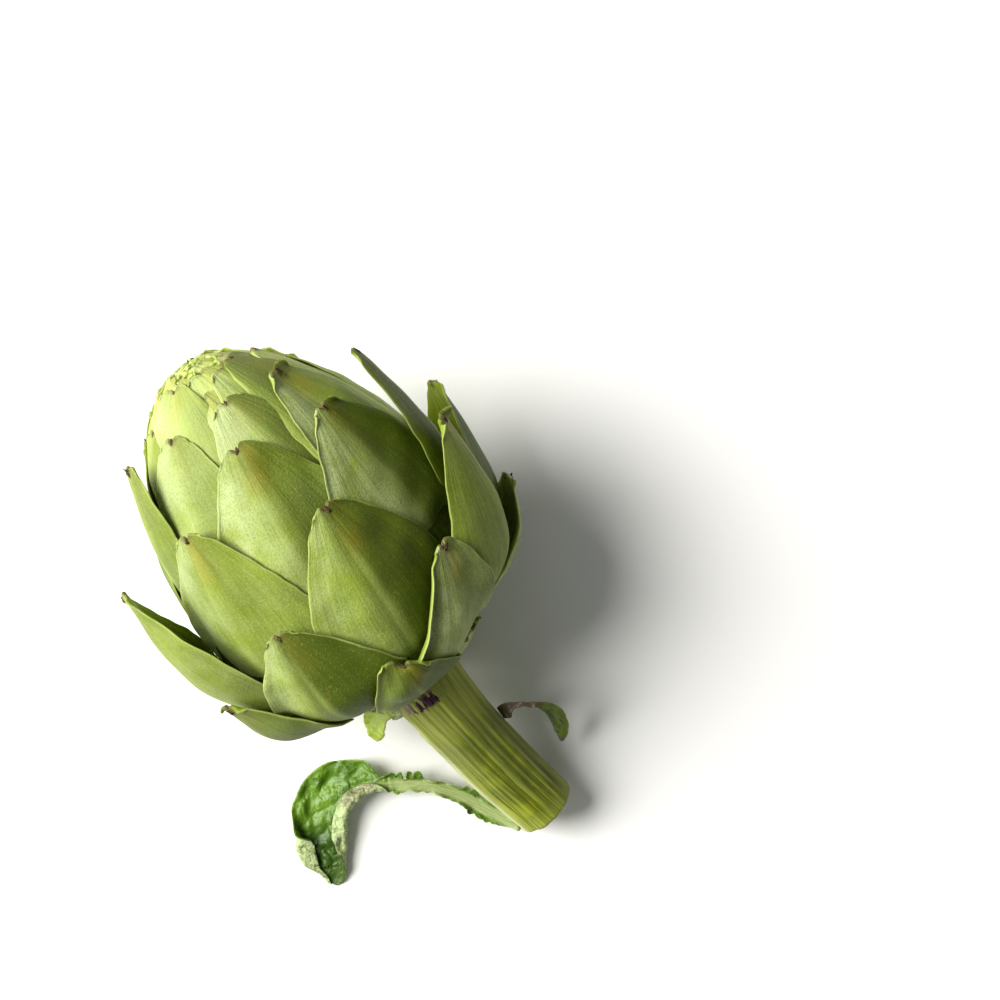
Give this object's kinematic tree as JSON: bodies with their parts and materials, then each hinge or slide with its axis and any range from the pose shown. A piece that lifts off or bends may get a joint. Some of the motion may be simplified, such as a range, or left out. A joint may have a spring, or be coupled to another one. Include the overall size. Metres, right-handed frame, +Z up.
{
  "type": "globe artichoke",
  "caption": "Globe artichoke lying on its side: a rounded head of overlapping notched bracts, a cut ribbed stem, one long curled leaf and small leaves by the head.",
  "frame": {"origin": "middle of the object's outline in plan, on the surface it lies on", "axes": "+Z up, +X along the length from the stem's cut end to the top of the head, +Y towards the side of the long curled leaf"},
  "size_m": [0.1712, 0.1192, 0.0984],
  "materials": {
    "bract": "matte, downy, light green with yellow-green rims",
    "stem": "matte, ribbed, olive green",
    "leaf": "satin, dark green, grey-green underside",
    "young_leaf": "satin, bright green"
  },
  "bodies": {
    "root": {"head": "bract", "stem": "stem", "curled_leaf": "leaf", "base_leaf": "young_leaf", "side_leaf": "leaf"}
  },
  "joints": []
}
